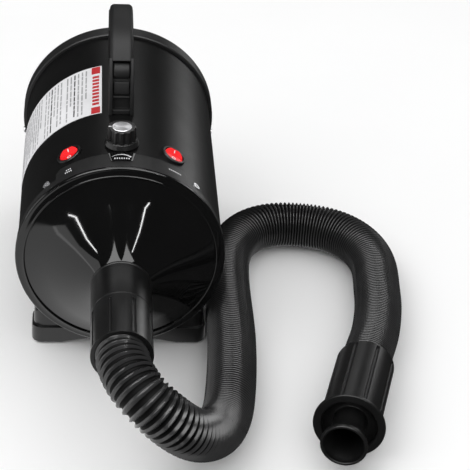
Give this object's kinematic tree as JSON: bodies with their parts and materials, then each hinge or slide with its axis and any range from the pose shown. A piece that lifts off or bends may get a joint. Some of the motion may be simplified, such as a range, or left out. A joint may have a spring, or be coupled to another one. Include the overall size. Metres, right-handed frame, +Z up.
{
  "type": "pet dryer",
  "caption": "Canister pet dryer: steel tube body on cross feet with a carry handle, airflow knob, rocker switches, and a ribbed stretch hose ending in a hand grip and nozzle fitting.",
  "frame": {"origin": "middle of the body's footprint on the floor: midway between the outlet collar's front edge and the rear cap's back face, on the body's centre plane", "axes": "+Z up, +Y towards the rear air inlet so the outlet faces -Y, +X to the right of someone facing the outlet"},
  "size_m": [0.3619, 0.472, 0.2645],
  "materials": {
    "black_steel": "satin powder coat",
    "gloss_black": "glossy",
    "dark_grey_plastic": "satin",
    "black_plastic": "satin",
    "hose_plastic": "soft satin",
    "soft_black": "matt",
    "red_plastic": "glossy, slightly translucent",
    "label_film": "satin film",
    "zinc_steel": "zinc plated",
    "spun_aluminium": "spun face",
    "core_steel": "laminated",
    "carbon": "matt",
    "foam": "open-cell foam",
    "board_green": "lacquered board",
    "mica": "matt sheet"
  },
  "bodies": {
    "dryer_body": {"shell": "black_steel", "front_cover": "gloss_black", "front_trim": "dark_grey_plastic", "airflow_plate": "black_plastic", "rating_label": "label_film", "cover_screws": "zinc_steel", "rear_cap": "dark_grey_plastic", "rear_screws": "zinc_steel", "filter_foam": "foam", "cord_inlet": "soft_black", "handle": "dark_grey_plastic", "handle_bolts": "zinc_steel", "front_foot": "black_plastic", "rear_foot": "black_plastic", "foot_pads": "soft_black", "foot_screws": "zinc_steel", "speed_control": "black_plastic", "control_nut": "zinc_steel", "power_switch": "black_plastic", "heat_switch": "black_plastic", "control_board": "board_green", "wiring_loom": "soft_black", "stator": "core_steel", "carbon_brushes": "carbon", "front_bearing": "zinc_steel", "rear_bearing": "zinc_steel", "fan_shroud": "spun_aluminium", "motor_bracket": "dark_grey_plastic", "bulkhead": "dark_grey_plastic", "motor_gasket": "soft_black", "sound_foam": "foam", "heat_shield": "zinc_steel", "heater_frame": "mica", "heater_coil": "core_steel", "thermal_cutout": "zinc_steel", "outlet_collar": "hose_plastic"},
    "knob": {"airflow_knob": "black_plastic", "knob_cap": "spun_aluminium", "knob_shaft": "zinc_steel"},
    "power_paddle": {"power_rocker": "red_plastic"},
    "heat_paddle": {"heat_rocker": "red_plastic"},
    "rotor": {"armature": "core_steel", "impeller": "spun_aluminium"},
    "filter_door": {"filter_cover": "black_plastic"},
    "hose_assembly": {"hose_cuff": "hose_plastic", "hose": "hose_plastic", "hand_grip": "hose_plastic"},
    "fitting": {"nozzle_fitting": "hose_plastic"}
  },
  "joints": [
    {"name": "airflow_knob_turn", "type": "hinge", "parent": "dryer_body", "child": "knob", "pos_m": [0, -0.044, 0.2], "axis": [0, 0, -1], "range_deg": [-60, 240]},
    {"name": "power_rocker_tip", "type": "hinge", "parent": "dryer_body", "child": "power_paddle", "pos_m": [-0.0435, -0.044, 0.18034], "axis": [0.866, 0, 0.5], "range_deg": [-24, 0]},
    {"name": "heat_rocker_tip", "type": "hinge", "parent": "dryer_body", "child": "heat_paddle", "pos_m": [0.0435, -0.044, 0.18034], "axis": [0.866, 0, -0.5], "range_deg": [-24, 0]},
    {"name": "rotor_spin", "type": "hinge", "parent": "dryer_body", "child": "rotor", "pos_m": [0, 0.06, 0.105], "axis": [0, 1, 0], "continuous": true},
    {"name": "filter_cover_pull", "type": "slide", "parent": "dryer_body", "child": "filter_door", "axis": [0, 1, 0], "range_m": [0, 0.03]},
    {"name": "hose_pull", "type": "slide", "parent": "dryer_body", "child": "hose_assembly", "axis": [0, -1, 0], "range_m": [0, 0.03]},
    {"name": "fitting_turn", "type": "hinge", "parent": "hose_assembly", "child": "fitting", "pos_m": [0.192, -0.225, 0.031], "axis": [-0.2753, -0.9599, 0.0523], "continuous": true}
  ]
}
